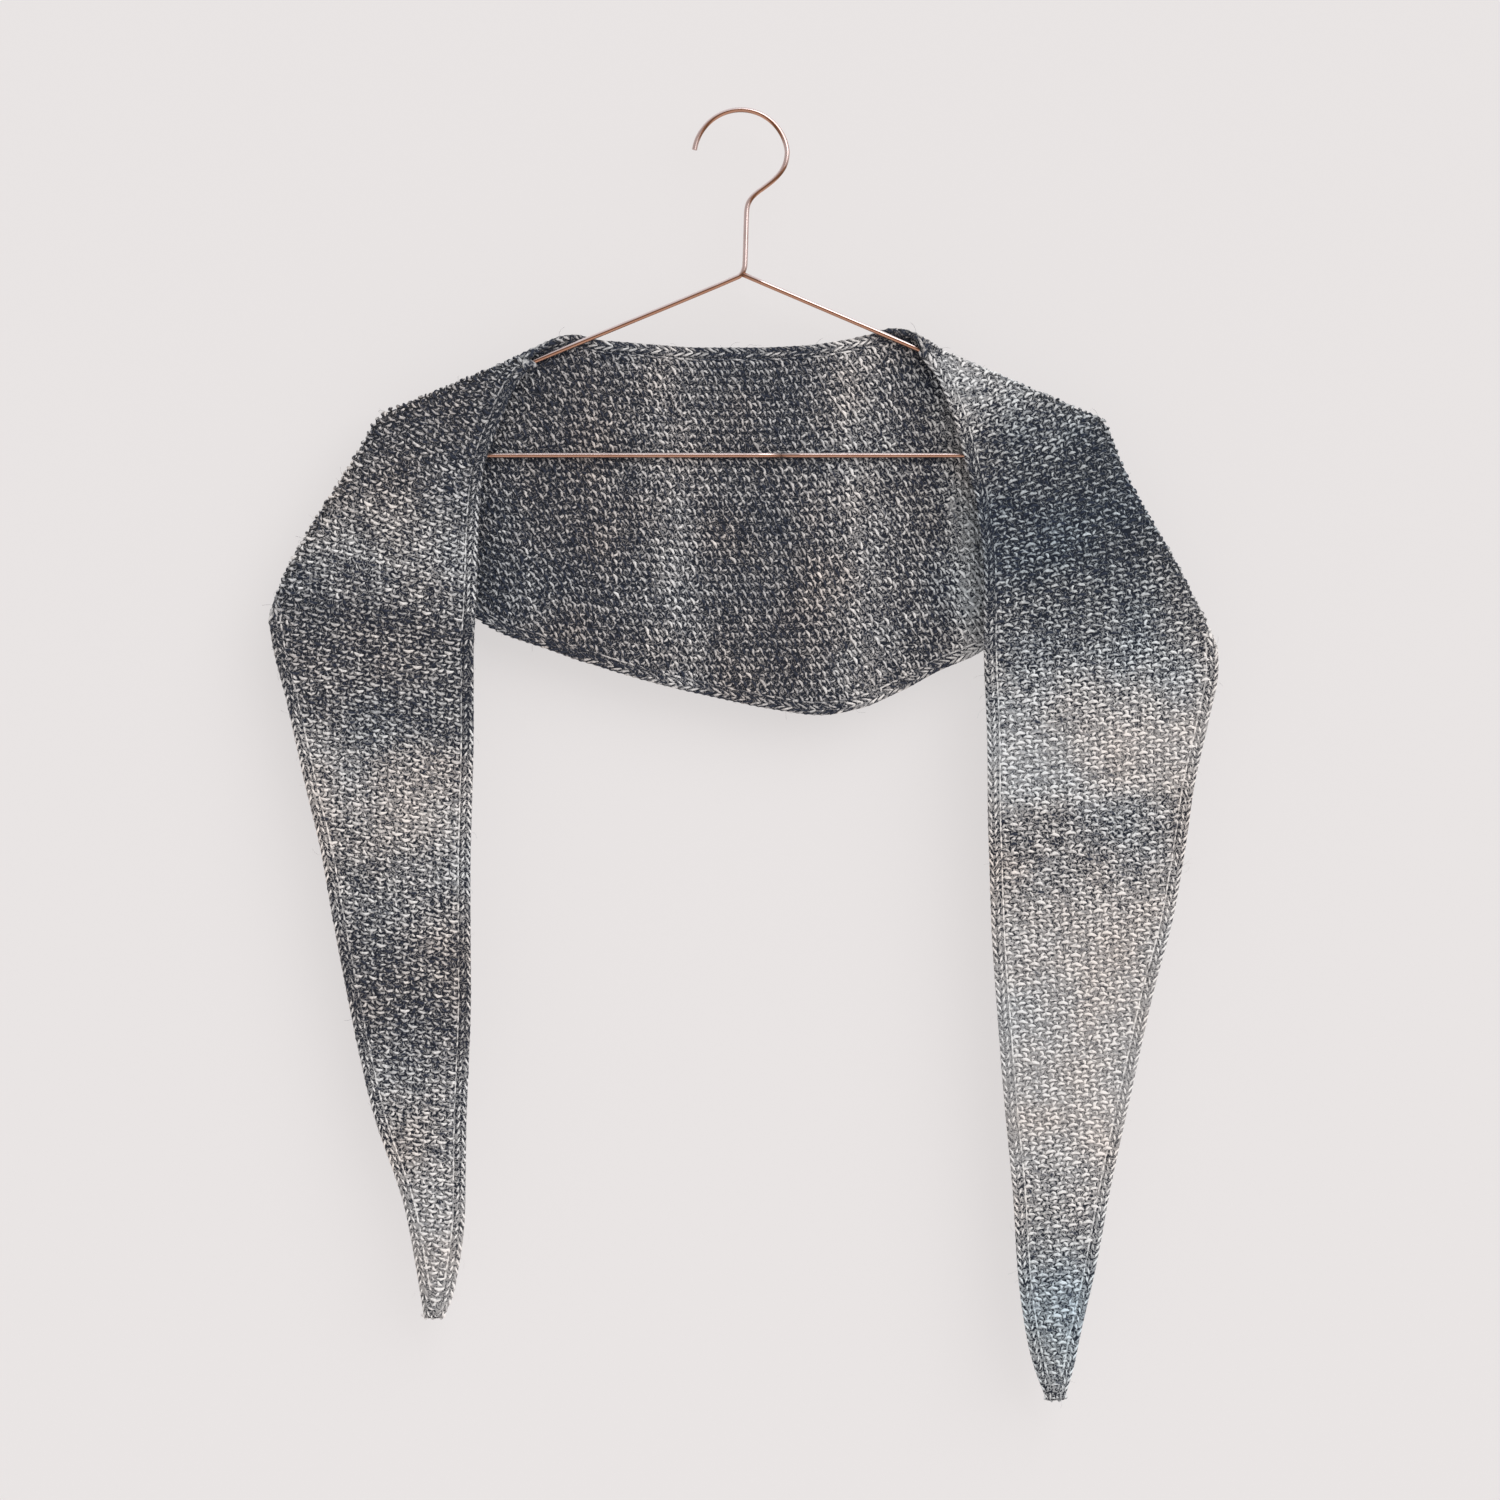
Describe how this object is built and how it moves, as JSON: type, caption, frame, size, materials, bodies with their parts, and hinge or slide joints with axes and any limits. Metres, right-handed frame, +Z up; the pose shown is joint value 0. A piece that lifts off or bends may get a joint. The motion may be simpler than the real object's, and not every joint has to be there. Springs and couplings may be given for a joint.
{
  "type": "triangle shawl on a wire hanger",
  "caption": "Low, wide triangle shawl in marled moss stitch with braided edges, folded over a bent copper-coloured wire hanger so that its two ends hang down in front.",
  "frame": {"origin": "inside top of the hanger's hook, on the middle plane of the wire, where the rod or pin that holds the part touches it", "axes": "+Z up, -Y the way the two hanging ends face, +X to the right as seen from the front"},
  "size_m": [0.547, 0.0221, 0.7453],
  "materials": {
    "knit": "matte marled wool knit in slate and light grey stripes",
    "braid": "matte marled wool knit, slipped-stitch braid",
    "copper_wire": "polished copper plating on steel wire"
  },
  "bodies": {
    "root": {"hanger_wire": "copper_wire", "left_tail": "knit", "right_tail": "knit", "back_panel": "knit", "left_tail_inner_edge": "braid", "back_top_edge": "braid", "right_tail_inner_edge": "braid", "left_tail_outer_edge": "braid", "back_lower_edge": "braid", "right_tail_outer_edge": "braid"}
  },
  "joints": []
}
